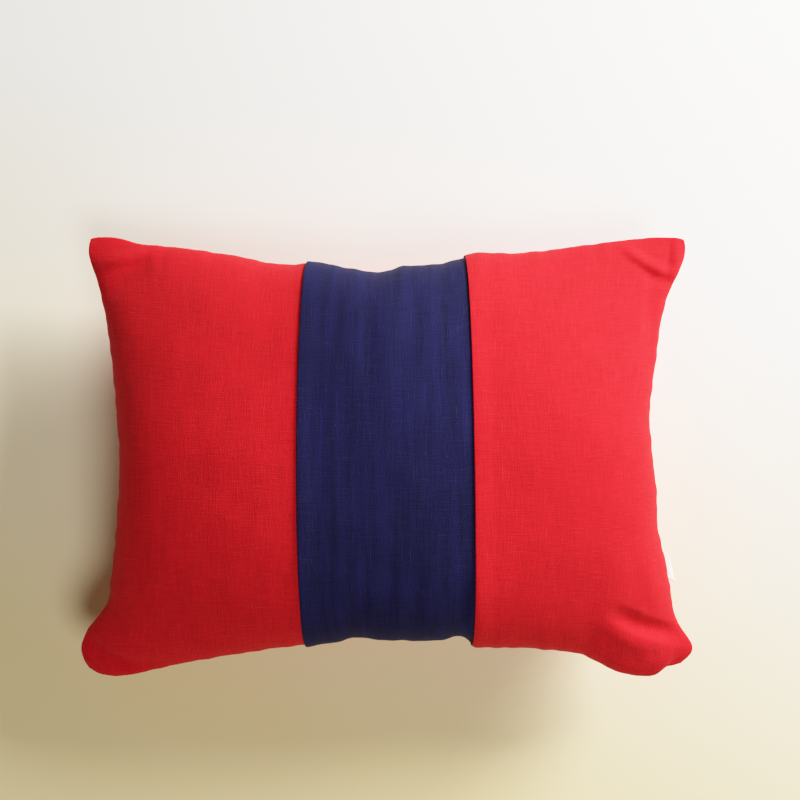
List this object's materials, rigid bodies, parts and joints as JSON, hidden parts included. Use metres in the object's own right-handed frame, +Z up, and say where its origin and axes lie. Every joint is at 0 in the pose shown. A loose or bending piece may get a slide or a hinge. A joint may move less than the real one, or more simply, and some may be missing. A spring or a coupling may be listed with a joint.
{
  "type": "lumbar pillow",
  "caption": "Stuffed rectangular cotton lumbar pillow with a full crown, drawn-in sides and a contrasting band sewn across its front.",
  "frame": {"origin": "centre of the pillow's footprint, on the surface that it rests on", "axes": "+X along the pillow's length towards the side with the label, +Y across it towards its top edge, +Z up out of the front, because the pillow lies on its back"},
  "size_m": [0.3964, 0.285, 0.1187],
  "materials": {
    "red_cotton_back": "plain handwoven cotton, matt, slightly slubbed",
    "red_cotton": "plain handwoven cotton, matt, slightly slubbed",
    "navy_cotton": "handwoven cotton with fine upright streaks, matt",
    "white_tape": "smooth woven tape, bare"
  },
  "bodies": {
    "root": {"cushion_body": "red_cotton_back", "left_panel": "red_cotton", "centre_band": "navy_cotton", "right_panel": "red_cotton", "side_label": "white_tape"}
  },
  "joints": []
}
